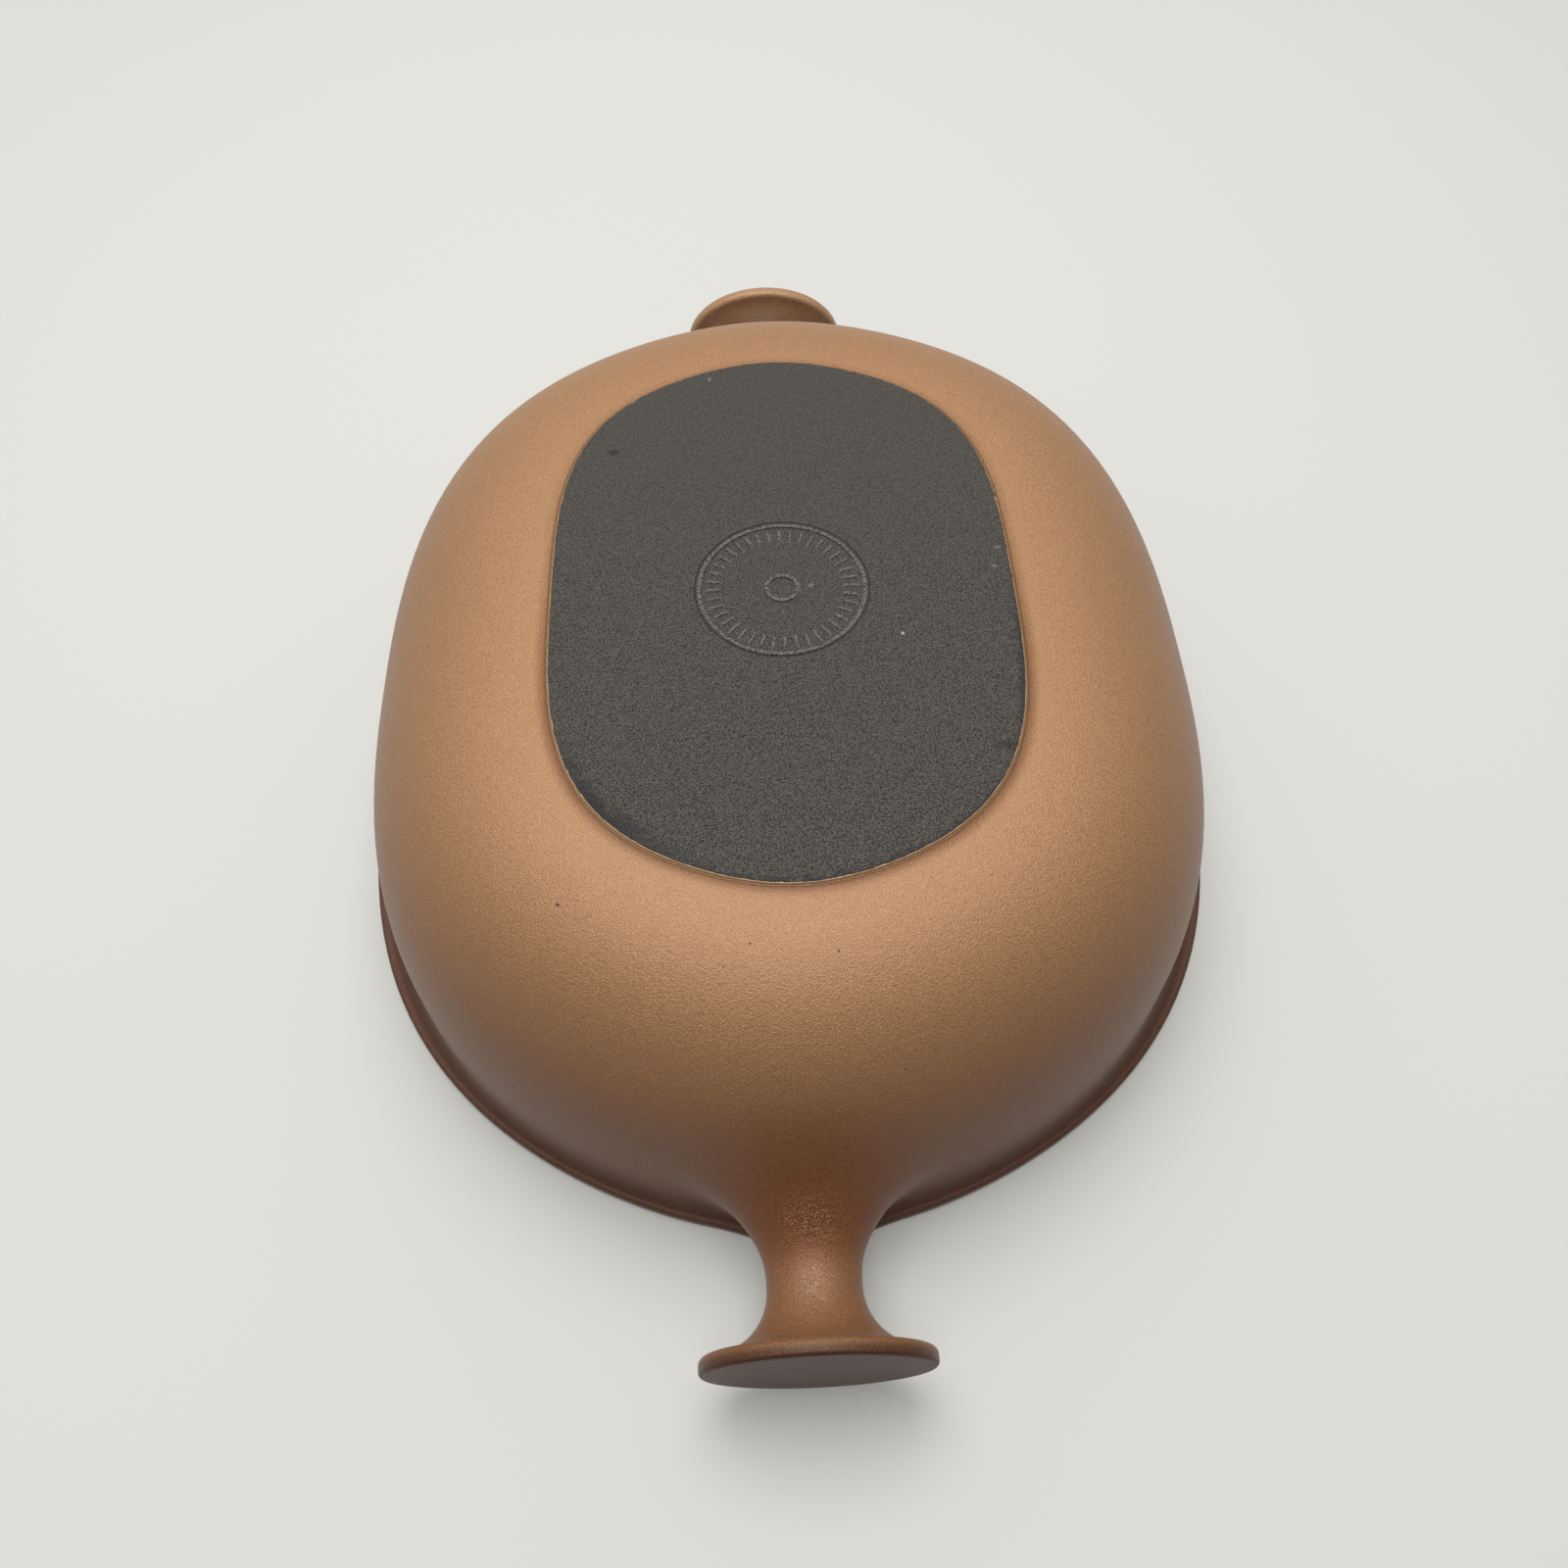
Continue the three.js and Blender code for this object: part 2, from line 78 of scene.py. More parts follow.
# The room is bright above and behind the dish, a little more so on the left, and dim in front.
brightest_side = Vector((-0.12, 0.44, 0.89)).normalized()
dim_strength, bright_strength = 0.085, 0.5


def feed(tree, socket, value):
    """Links the input socket to another node's output, or sets it to a plain value."""
    if isinstance(value, bpy.types.NodeSocket):
        tree.links.new(value, socket)
    else:
        socket.default_value = value


def feed_in_order(tree, node, values):
    for socket, value in zip(node.inputs, values):
        feed(tree, socket, value)


def feed_by_name(tree, node, **values):
    """Feeds inputs by their labels, with a low line for each space."""
    for label, value in values.items():
        feed(tree, node.inputs[label.replace("_", " ")], value)


def add_node(tree, kind, **values):
    """A new node, its named inputs fed from sockets or plain values."""
    node = tree.nodes.new(kind)
    feed_by_name(tree, node, **values)
    return node


def calculated(tree, operation, *values, kind="ShaderNodeMath", output="Value"):
    """What a Math or Vector Math node makes of sockets and plain values."""
    node = tree.nodes.new(kind)
    node.operation = operation
    feed_in_order(tree, node, values)
    return node.outputs[output]


def ranged(tree, value, start, end, low=0, high=1, way="SMOOTHSTEP"):
    """Goes from low to high as the value goes from start to end."""
    node = tree.nodes.new("ShaderNodeMapRange")
    node.interpolation_type = way
    feed_by_name(tree, node, Value=value, From_Min=start, From_Max=end, To_Min=low, To_Max=high)
    return node.outputs[0]


world = bpy.data.worlds.new("room")
bpy.context.scene.world = world
world.use_nodes = True
room = world.node_tree
looking = room.nodes.new("ShaderNodeTexCoord").outputs["Generated"]
towards_light = calculated(room, "DOT_PRODUCT", looking, brightest_side, kind="ShaderNodeVectorMath")
strength = ranged(room, towards_light, 0.1, 0.75, dim_strength, bright_strength)
feed_by_name(room, room.nodes["Background"], Color=(1, 0.995, 0.975, 1), Strength=strength)

# A wide soft light hangs above the dish, and a small one in front leans towards it.
for lamp_name, energy, size, place, lean in (
    ("soft_light_above", 12.4, 0.85, (-0.07, 0.25, 1.22), 0),
    ("small_light_in_front", 1.1, 0.3, (-0.06, -0.45, 0.98), 0.43),
):
    lamp_data = bpy.data.lights.new(lamp_name, "AREA")
    lamp_data.energy = energy
    lamp_data.size = size
    lamp_data.color = (1, 0.985, 0.96)
    lamp = bpy.data.objects.new(lamp_name, lamp_data)
    lamp.location = place
    lamp.rotation_euler = (lean, 0, 0)
    bpy.context.scene.collection.objects.link(lamp)

floor_half = 2.5
floor_mesh = bpy.data.meshes.new("floor")
corners = [(-1, -1), (1, -1), (1, 1), (-1, 1)]
floor_mesh.from_pydata([(x * floor_half, y * floor_half, 0) for x, y in corners], [], [(0, 1, 2, 3)])
floor = bpy.data.objects.new("floor", floor_mesh)
bpy.context.scene.collection.objects.link(floor)

# The table top is pale to the eye and in gloss, where a small share of it glows as if it were lit
# from all round. It throws less light up at the dish.
glowing_share = 0.18


def new_material(name, **values):
    """A material and its node tree, with the plain values on its Principled shader."""
    material = bpy.data.materials.new(name)
    material.use_nodes = True
    set_look(material.node_tree, **values)
    return material, material.node_tree


def set_look(tree, **values):
    """Feeds the material's Principled shader."""
    feed_by_name(tree, tree.nodes["Principled BSDF"], **values)


def mixed_shader(tree, share, first, second):
    """A mix that holds the given share of the second shader."""
    mix = tree.nodes.new("ShaderNodeMixShader")
    feed_in_order(tree, mix, (share, first.outputs[0], second.outputs[0]))
    return mix


table_top, table = new_material("table_top")
table.nodes.remove(table.nodes["Principled BSDF"])
lit = add_node(table, "ShaderNodeBsdfDiffuse", Color=(0.69, 0.69, 0.665, 1))
glowing = add_node(table, "ShaderNodeEmission", Color=(0.69, 0.69, 0.655, 1))
thrown = add_node(table, "ShaderNodeBsdfDiffuse", Color=(0.15, 0.15, 0.145, 1))
rays = table.nodes.new("ShaderNodeLightPath").outputs
in_sight = calculated(table, "MAXIMUM", rays["Is Camera Ray"], rays["Is Glossy Ray"])
in_sight = calculated(table, "MAXIMUM", in_sight, rays["Is Transmission Ray"])
table_look = mixed_shader(table, in_sight, thrown, mixed_shader(table, glowing_share, lit, glowing))
feed_by_name(table, table.nodes["Material Output"], Surface=table_look.outputs[0])
floor_mesh.materials.append(table_top)

# The iron casting, bowl and handles poured in one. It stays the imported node, and the glass and
# the coats below hide all of it, so it only has the plain dark grey of a sand-cast skin.
dark_iron, light_iron = (0.05, 0.046, 0.042, 1), (0.09, 0.083, 0.075, 1)


def object_place(tree):
    """Coordinates that stay with the piece, in metres."""
    return tree.nodes.new("ShaderNodeTexCoord").outputs["Object"]


def noise(tree, place, scale, detail):
    return add_node(tree, "ShaderNodeTexNoise", Vector=place, Scale=scale, Detail=detail).outputs["Fac"]


def blend_colour(tree, factor, first, second, mode="MIX"):
    """A colour mix whose inputs are sockets or plain values."""
    mix = tree.nodes.new("ShaderNodeMix")
    mix.data_type = "RGBA"
    mix.blend_type = mode
    for number, value in ((0, factor), (6, first), (7, second)):
        feed(tree, mix.inputs[number], value)
    return mix.outputs[2]


cast_iron, iron = new_material("cast_iron", Metallic=0.8, Roughness=0.65)
sand = noise(iron, object_place(iron), 900, 4)
set_look(iron, Base_Color=blend_colour(iron, sand, dark_iron, light_iron))
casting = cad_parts["iron_casting"]
casting.data.materials.clear()
casting.data.materials.append(cast_iron)

# The copper-coloured outer enamel, one fired skin of glass over the wall, the lip and both spool
# handles. It is sprayed on and melted in a kiln, which leaves the fine orange peel. Its shape is
# worked out in millimetres.
skin_low, skin_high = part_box("outer_enamel")
dish_height = skin_high.z * 1000
handle_end = skin_high.y * 1000
rim_foot = skin_low.z * 1000
rim_length = 250
rim_width = 2000 * skin_high.x
skin_thickness = 0.4
lip_overhang_ends, lip_overhang_sides = 3, 7.2
lip_thickness = 2.8
lip_corner = 1
lip_under_corner = 0.5
neck_height = 11
belly_height = 21
shoulder_fullness = 2.27
base_length, base_width = 152, 105.4
base_step = 0.8
base_step_draft = 0.5
base_corner = 0.25
coat_lap = 0.2
flange_width, flange_height, flange_thickness = 48.6, 39, 3.6
flange_corner = 1.4
face_corner = 0.9
flange_above_table = 0.8
stem_width = 20
stem_rise, stem_rise_fullness = 8.3, 2
stem_drop, stem_drop_fullness = 12, 2.5
cove_depth = 12.4
root_fillet, lip_fillet, waist_fillet = 25, 16, 18
full_fillet_height = 32
waist_blend_start = rim_length / 2 + 2
lip_top = rim_foot + lip_thickness
step_foot = dish_height - base_step
handle_height = flange_above_table + flange_height / 2
waist_reach = handle_end - flange_thickness - cove_depth

# How finely the mesh is divided, and how far its columns crowd together at the handles. Each handle
# grows out of an opening in the wall, as many columns wide and rings high as the span says.
columns = 200
end_crowding = 0.16
shoulder_steps = 40
belly_steps = 4
neck_steps = 12
corner_steps = 5
span = 20
root_start_steps, root_steps, cove_steps, face_steps = 6, 12, 16, 8
first_share, root_swell = 0.1, 1.25
relax_rounds, settle_rounds = 30, 8
tolerance = 0.001


def make_oval(length, width, side_fullness, end_fullness):
    """Half length, half width and fullness at the sides and the ends: 2 is an ellipse, more is squarer."""
    return np.array([length / 2, width / 2, side_fullness, end_fullness])


def inset_oval(oval, depth):
    return oval - np.array([depth, depth, 0, 0])


def oval_reach(ovals, angles):
    across, along = np.abs(np.cos(angles)), np.abs(np.sin(angles))
    fullness = ovals[..., 3] + (ovals[..., 2] - ovals[..., 3]) * across**2
    return (across**fullness + along**fullness) ** (-1 / fullness)


def column_angles(count):
    """Angles round the dish, closer together at the two ends."""
    even = 2 * np.pi * np.arange(count) / count
    return even + end_crowding * np.sin(2 * even)


def ring_of(oval, height, angles):
    """Points of an oval at one height."""
    reach = oval_reach(oval, angles)
    x, y = oval[1] * reach * np.cos(angles), oval[0] * reach * np.sin(angles)
    return np.stack([x, y, np.full(len(angles), float(height))], 1)


rim_oval = make_oval(rim_length, rim_width, 2.35, 1.93)
belly_oval = make_oval(rim_length - 2 * lip_overhang_ends, rim_width - 2 * lip_overhang_sides, 2.49, 1.99)
base_oval = make_oval(base_length, base_width, 3.1, 2.07)
step_oval = inset_oval(base_oval, -base_step_draft)
lip_oval = inset_oval(rim_oval, lip_corner)


def outside_ovals(heights):
    """Outside of the wall at heights between the lip and the foot of the base step."""
    heights = np.asarray(heights, float)[..., None]
    rise = np.clip((heights - belly_height) / (step_foot - belly_height), 0, 1)
    spread = (1 - rise**shoulder_fullness) ** (1 / shoulder_fullness)
    drop = np.clip((neck_height - heights) / (neck_height - lip_top), 0, 1)
    above = step_oval + (belly_oval - step_oval) * spread
    below = belly_oval + (lip_oval - belly_oval) * (1 - np.sqrt(1 - drop**2))
    return np.where(heights >= belly_height, above, below)


def wall_level(points):
    """Below 0 inside the wall's outer surface, and above 0 beyond it."""
    ovals = outside_ovals(points[:, 2])
    x, y = points[:, 0] / ovals[:, 1], points[:, 1] / ovals[:, 0]
    return np.hypot(x, y) / oval_reach(ovals, np.arctan2(y, x)) - 1


def wall_distance(points):
    """Distance to the wall and the direction away from it. Below the neck both are level ones."""
    nudge = 0.01
    slope = np.empty_like(points)
    for axis in range(3):
        step = np.zeros(3)
        step[axis] = nudge
        slope[:, axis] = (wall_level(points + step) - wall_level(points - step)) / (2 * nudge)
    slope[points[:, 2] < neck_height, 2] = 0
    steepness = np.linalg.norm(slope, axis=1)
    return wall_level(points) / steepness, slope / steepness[:, None]


def stem_distance(points):
    """Signed distance to the stem's bar, squarer below its middle, and the direction away from it."""
    up = points[:, 2] - handle_height
    halves = np.stack([np.full(len(up), stem_width / 2), np.where(up < 0, stem_drop, stem_rise)], 1)
    fullness = np.where(up < 0, stem_drop_fullness, stem_rise_fullness)[:, None]
    across = np.stack([points[:, 0], up], 1) / halves
    level = (np.abs(across) ** fullness).sum(1, keepdims=True) ** (1 / fullness)
    slope = np.sign(across) * np.abs(across / level) ** (fullness - 1) / halves
    steepness = np.linalg.norm(slope, axis=1)
    away = np.zeros_like(points)
    away[:, [0, 2]] = slope / steepness[:, None]
    return (level[:, 0] - 1) / steepness, away


def smooth_step(values, start, end):
    share = np.clip((values - start) / (end - start), 0, 1)
    return share**2 * (3 - 2 * share)


def root_distance(points):
    """Signed distance to wall and stem run together in a soft fillet, narrower at lip and waist."""
    wall, from_wall = wall_distance(points)
    stem, from_stem = stem_distance(points)
    rise = smooth_step(points[:, 2], lip_top, full_fillet_height)
    out = smooth_step(np.abs(points[:, 1]), waist_blend_start, waist_reach)
    fillet = lip_fillet + (root_fillet - lip_fillet) * rise
    fillet = fillet + (waist_fillet - fillet) * out
    overlap = np.maximum(fillet - np.abs(wall - stem), 0) / fillet
    wall_share = np.where(wall < stem, 1 - overlap / 2, overlap / 2)[:, None]
    slope = from_wall * wall_share + from_stem * (1 - wall_share)
    return np.minimum(wall, stem) - overlap**2 * fillet / 4, slope


def settle_on_root(points):
    """The points moved on to the filleted surface."""
    for _ in range(settle_rounds):
        distance, slope = root_distance(points)
        points = points - slope * (distance / (slope**2).sum(1))[:, None]
    return points


def quarter_turn(steps, first=0):
    """Sine and cosine at even steps through a quarter turn."""
    turns = [math.pi / 2 * step / steps for step in range(first, steps + 1)]
    return [(math.sin(turn), math.cos(turn)) for turn in turns]


def wall_rings():
    """Oval and height of each ring, from the edge of the base down to the lower edge of the lip."""
    coat_foot = dish_height - coat_lap
    rings = [(base_oval, coat_foot)]
    for sine, cosine in quarter_turn(corner_steps, 1):
        rings.append((inset_oval(base_oval, -base_corner * sine), coat_foot - base_corner * (1 - cosine)))
    for step in range(shoulder_steps):
        turn = math.pi / 2 * (1 - step / shoulder_steps)
        rise = math.sin(turn) ** (2 / shoulder_fullness)
        spread = math.cos(turn) ** (2 / shoulder_fullness)
        height = belly_height + (step_foot - belly_height) * rise
        rings.append((step_oval + (belly_oval - step_oval) * spread, height))
    for step in range(belly_steps):
        rings.append((belly_oval, belly_height + (neck_height - belly_height) * step / belly_steps))
    for sine, _ in quarter_turn(neck_steps):
        height = neck_height - (neck_height - lip_top) * sine
        rings.append((outside_ovals(height), height))
    for sine, cosine in quarter_turn(corner_steps, 1):
        rings.append((inset_oval(rim_oval, lip_corner * (1 - sine)), lip_top - lip_corner * (1 - cosine)))
    for sine, cosine in quarter_turn(corner_steps):
        depth = lip_under_corner * (1 - cosine)
        rings.append((inset_oval(rim_oval, depth), rim_foot + lip_under_corner * (1 - sine)))
    return rings


def handle_rings():
    """Reach, half width, height above and below the handle's middle and fullness below of each ring,
    from the root to the middle of the end face. The rings up to the waist settle on the root later."""
    rings = []
    for step in range(root_steps):
        share = first_share + (1 - first_share) * step / root_steps
        reach = rim_length / 2 + (waist_reach - rim_length / 2) * share
        size = 1 + root_swell * (1 - share) ** 3
        rings.append((reach, stem_width / 2 * size, stem_rise * size, stem_drop, stem_drop_fullness))
    whole = np.array([flange_width, flange_height, flange_height]) / 2
    cove_edge, face_edge = whole - flange_corner, whole - face_corner
    stem = np.array([stem_width / 2, stem_rise, stem_drop])
    for sine, cosine in quarter_turn(cove_steps):
        halves = cove_edge + (stem - cove_edge) * cosine
        fullness = stem_rise_fullness + (stem_drop_fullness - stem_rise_fullness) * cosine
        rings.append((waist_reach + cove_depth * sine, *halves, fullness))
    inner_centre = handle_end - flange_thickness + flange_corner
    outer_centre = handle_end - face_corner
    for sine, cosine in quarter_turn(corner_steps, 1):
        halves = cove_edge + flange_corner * sine
        rings.append((inner_centre - flange_corner * cosine, *halves, stem_rise_fullness))
    for sine, cosine in quarter_turn(corner_steps):
        halves = face_edge + face_corner * cosine
        rings.append((outer_centre + face_corner * sine, *halves, stem_rise_fullness))
    for step in range(1, face_steps):
        rings.append((handle_end, *(face_edge * (1 - step / face_steps)), stem_rise_fullness))
    return rings


rings = wall_rings()
angles = column_angles(columns)
points = np.concatenate([ring_of(oval, height, angles) for oval, height in rings])
wall_count = len(points)
ring_index = np.arange(wall_count).reshape(len(rings), columns)
opening_top = next(i for i, (_, height) in enumerate(rings) if height <= belly_height) - span // 2
quads = []
for ring in range(len(rings) - 1):
    for column in range(columns):
        beside = (column + 1) % columns
        from_end = (column + columns // 4) % (columns // 2)
        near_end = from_end < span // 2 or from_end >= columns // 2 - span // 2
        if not (near_end and opening_top <= ring < opening_top + span):
            above, below = ring_index[ring], ring_index[ring + 1]
            quads.append((above[column], below[column], below[beside], above[beside]))
triangles = []
on_root = []
steps = np.arange(span)
for side, end in ((-1, 3 * columns // 4), (1, columns // 4)):
    low, high = end - span // 2, end + span // 2
    loop = np.concatenate([
        ring_index[opening_top, high - steps],
        ring_index[opening_top + steps, low],
        ring_index[opening_top + span, low + steps],
        ring_index[opening_top + span - steps, high],
    ])
    turns = math.pi / 4 + 2 * np.pi * np.arange(len(loop)) / len(loop)
    root_loop = points[loop]
    sections = []
    for reach, half_width, rise, drop, drop_fullness in handle_rings():
        fullness = np.where(np.sin(turns) < 0, drop_fullness, stem_rise_fullness)
        size = (np.abs(np.cos(turns)) ** fullness + np.abs(np.sin(turns)) ** fullness) ** (-1 / fullness)
        x = -side * half_width * size * np.cos(turns)
        z = handle_height + np.where(np.sin(turns) < 0, drop, rise) * size * np.sin(turns)
        sections.append(np.stack([x, np.full(len(turns), side * reach), z], 1))
    for step in range(1, root_start_steps):
        share = step / root_start_steps
        sections.insert(step - 1, root_loop + (sections[step - 1] - root_loop) * share)
    settled_rings = root_start_steps - 1 + root_steps
    for number, section in enumerate(sections):
        start = len(points)
        points = np.concatenate([points, section])
        ring = np.arange(start, len(points))
        if number < settled_rings:
            on_root.extend(ring)
        quads.extend(zip(loop, np.roll(loop, -1), np.roll(ring, -1), ring))
        loop = ring
    centre = len(points)
    points = np.concatenate([points, [[0, side * handle_end, handle_height]]])
    triangles.extend((centre, a, b) for a, b in zip(loop, np.roll(loop, -1)))

# The points of the wall inside the two openings belong to no face, so they are taken out.
used = np.unique(np.concatenate([np.ravel(quads), np.ravel(triangles)]))
renumbered = np.full(len(points), -1)
renumbered[used] = np.arange(len(used))
points = points[used]
wall_count = int((used < wall_count).sum())
ring_index = renumbered[ring_index]
quads = [tuple(face) for face in renumbered[np.array(quads)]]
triangles = [tuple(face) for face in renumbered[np.array(triangles)]]
on_root = renumbered[on_root]

# The lip swells out a little under each stem, as far as the fillet reaches there.
lip_ring = max(i for i, (_, height) in enumerate(rings) if height > lip_top - tolerance)
lip_edge = points[ring_index[lip_ring]]
lip_gap = np.clip(stem_distance(lip_edge)[0], 0, lip_fillet)
swelling = (math.sqrt(lip_fillet) - np.sqrt(lip_gap))[:, None] ** 2 * wall_distance(lip_edge)[1]
for ring in ring_index[lip_ring:]:
    points[ring] += swelling

# The points near the two roots settle on the filleted surface, and even out along it.
wall_heights = points[:wall_count, 2]
near_wall = np.flatnonzero((wall_heights > lip_top + tolerance) & (wall_heights < step_foot))
lifted = np.abs(root_distance(points[near_wall])[0]) > tolerance
moving = np.concatenate([near_wall[lifted], on_root]).astype(int)
edges = np.array([pair for quad in quads for pair in zip(quad, quad[1:] + quad[:1])])
pairs = np.concatenate([edges, edges[:, ::-1]])
order = np.full(len(points), -1)
order[moving] = np.arange(len(moving))
pairs = pairs[order[pairs[:, 0]] >= 0]
neighbours = np.bincount(order[pairs[:, 0]], minlength=len(moving))[:, None]
points[moving] = settle_on_root(points[moving])
for _ in range(relax_rounds):
    total = np.zeros((len(moving), 3))
    np.add.at(total, order[pairs[:, 0]], points[pairs[:, 1]])
    points[moving] = (points[moving] + total / neighbours) / 2
    points[moving] = settle_on_root(points[moving])


def point_normals(points, faces):
    """Direction away from the surface at each point, from the faces round it."""
    sums = np.zeros_like(points)
    for size in {len(face) for face in faces}:
        group = np.array([face for face in faces if len(face) == size])
        corners = points[group]
        across = corners[:, 2] - corners[:, 0]
        square = np.cross(across, corners[:, -1] - corners[:, 1])
        for corner in range(size):
            np.add.at(sums, group[:, corner], square)
    return sums / np.linalg.norm(sums, axis=1)[:, None]


def add_piece(name, points, faces, material, replaced):
    """A smooth mesh from points in millimetres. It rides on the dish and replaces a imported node."""
    mesh = bpy.data.meshes.new(name)
    mesh.from_pydata((np.asarray(points) / 1000).tolist(), [], [list(map(int, face)) for face in faces])
    mesh.update()
    mesh.shade_smooth()
    mesh.materials.append(material)
    piece = bpy.data.objects.new(name, mesh)
    bpy.context.scene.collection.objects.link(piece)
    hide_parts(replaced)
    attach(piece, "root")
    return piece


def add_value(piece, name, values):
    """One number at each point of the mesh, for its material to read."""
    attribute = piece.data.attributes.new(name, "FLOAT", "POINT")
    attribute.data.foreach_set("value", np.asarray(values, np.float32))


def new_group(name, inputs, outputs):
    """A shader node group, the values that come into it, and the node that its results go to."""
    group = bpy.data.node_groups.new(name, "ShaderNodeTree")
    for label, kind, value in inputs:
        group.interface.new_socket(label, in_out="INPUT", socket_type=kind).default_value = value
    for label in outputs:
        group.interface.new_socket(label, in_out="OUTPUT", socket_type="NodeSocketFloat")
    return group, group.nodes.new("NodeGroupInput").outputs, group.nodes.new("NodeGroupOutput")


def use_group(tree, group, **values):
    """The results of a group placed in a material with its own values."""
    node = tree.nodes.new("ShaderNodeGroup")
    node.node_tree = group
    feed_by_name(tree, node, **values)
    return node.outputs


def noise_of_size(tree, place, size, detail):
    """Noise whose features have the size that a socket gives, in metres."""
    return noise(tree, place, calculated(tree, "DIVIDE", 1, size), detail)


def named_value(tree, name):
    node = tree.nodes.new("ShaderNodeAttribute")
    node.attribute_name = name
    return node.outputs["Fac"]


def fine_bump(tree, height, depth):
    return add_node(tree, "ShaderNodeBump", Strength=1, Distance=depth, Height=height).outputs[0]


# Fired grain: the orange peel, fine speckle and rare pinholes that each coat has to its own degree.
pinhole_cells = 260
fired_grain, grain_in, grain_out = new_group(
    "fired_grain",
    [("Peel size", "NodeSocketFloat", 0.001), ("Speckle size", "NodeSocketFloat", 0.0005),
     ("Pinhole share", "NodeSocketFloat", 0.02)],
    ["Peel", "Speckle", "Pinhole"],
)
place = object_place(fired_grain)
peel = noise_of_size(fired_grain, place, grain_in["Peel size"], 3)
speckle = noise_of_size(fired_grain, place, grain_in["Speckle size"], 1)
speckle = ranged(fired_grain, speckle, 0.3, 0.7, way="LINEAR")
cells = add_node(fired_grain, "ShaderNodeTexVoronoi", Vector=place, Scale=pinhole_cells).outputs
cell_number = add_node(fired_grain, "ShaderNodeSeparateColor", Color=cells["Color"]).outputs["Red"]
chosen = calculated(fired_grain, "LESS_THAN", cell_number, grain_in["Pinhole share"])
by_middle = ranged(fired_grain, cells["Distance"], 0.04, 0.075, 1, 0, "LINEAR")
pinhole = calculated(fired_grain, "MULTIPLY", chosen, by_middle)
feed_by_name(fired_grain, grain_out, Peel=peel, Speckle=speckle, Pinhole=pinhole)

# Soft patch: a worn, smudged or lighter place on a surface, round a given middle.
soft_patch, patch_in, patch_out = new_group(
    "soft_patch",
    [("Middle", "NodeSocketVector", (0, 0, 0)), ("Reach", "NodeSocketVector", (0.01, 0.01, 0.01)),
     ("Ragged", "NodeSocketFloat", 0.3), ("Ragged size", "NodeSocketFloat", 0.002)],
    ["Mask"],
)
place = object_place(soft_patch)
fray = noise_of_size(soft_patch, place, patch_in["Ragged size"], 3)
away = place
for operation, label in (("SUBTRACT", "Middle"), ("DIVIDE", "Reach")):
    away = calculated(
        soft_patch, operation, away, patch_in[label], kind="ShaderNodeVectorMath", output="Vector")
away = calculated(soft_patch, "LENGTH", away, kind="ShaderNodeVectorMath")
away = calculated(soft_patch, "MULTIPLY_ADD", fray, patch_in["Ragged"], away)
feed_by_name(soft_patch, patch_out, Mask=ranged(soft_patch, away, 0.3, 1, 1, 0))

# The colour coat is darkest, nearly brown, on the lip and on the flanges' end faces, and lightest round
# the base.
# Places and sizes in materials are in metres.
end_face = handle_end / 1000
copper_enamel, copper = new_material(
    "copper_enamel", Metallic=0.2, Specular_IOR_Level=0.36, Coat_Roughness=0.35,
    Sheen_Weight=0.12, Sheen_Tint=(1, 0.92, 0.82, 1), Sheen_Roughness=0.31)
grain = use_group(copper, fired_grain, Peel_size=0.0004, Speckle_size=0.0003, Pinhole_share=0.015)
place = add_node(copper, "ShaderNodeSeparateXYZ", Vector=object_place(copper)).outputs
out_along = calculated(copper, "ABSOLUTE", place["Y"])
up_wall = ranged(copper, place["Z"], 0.026, 0.076)
off_lip = ranged(copper, place["Z"], 0.002, 0.017)
on_stem = ranged(copper, out_along, end_face - 0.0285, end_face - 0.0145)
on_flange = ranged(copper, out_along, end_face - 0.0075, end_face - 0.0025)
on_flange_edge = ranged(copper, out_along, end_face - 0.0033, end_face - 0.0011)
on_face = ranged(copper, out_along, end_face - 0.001, end_face - 0.0002)
on_near_half = ranged(copper, place["Y"], 0.02, -0.03)
from_step = named_value(copper, "from_step")
# The crease by the base step, and a wider band beside it on the near half, are painted darker, partly for
# thin fired glass and partly as painted shade.
crease_glass_and_shade = ranged(copper, from_step, 0.0008, 0)
scorch_and_shade = calculated(copper, "MULTIPLY", ranged(copper, from_step, 0.0035, 0), on_near_half)
colour = blend_colour(copper, up_wall, (0.2, 0.068, 0.024, 1), (0.405, 0.213, 0.1, 1))
colour = blend_colour(copper, off_lip, (0.13, 0.057, 0.033, 1), colour)
# The two handles are one enamel, coloured as a lit and a shaded copy. The far stem and cove are darker as
# painted shade, the far flange lighter as painted light, and the near flange darker towards its end face
# as painted shade.
stem_shade_by_side = blend_colour(copper, on_near_half, (0.15, 0.075, 0.04, 1), (0.27, 0.125, 0.056, 1))
colour = blend_colour(copper, on_stem, colour, stem_shade_by_side)
far_flange_painted_light = blend_colour(copper, on_flange, colour, (0.45, 0.265, 0.14, 1))
near_flange_painted_shade = blend_colour(copper, on_flange_edge, colour, (0.1, 0.04, 0.017, 1))
colour = blend_colour(copper, on_near_half, far_flange_painted_light, near_flange_painted_shade)
colour = blend_colour(copper, on_face, colour, (0.066, 0.018, 0.006, 1))
flakes = blend_colour(copper, grain["Speckle"], (0.75, 0.72, 0.69, 1), (1.26, 1.29, 1.34, 1))
colour = blend_colour(copper, 1, colour, flakes, "MULTIPLY")
scorched_and_shaded = blend_colour(copper, scorch_and_shade, colour, (0.24, 0.1, 0.04, 1))
creased_and_shaded = blend_colour(copper, crease_glass_and_shade, scorched_and_shaded, (0.1, 0.045, 0.022, 1))
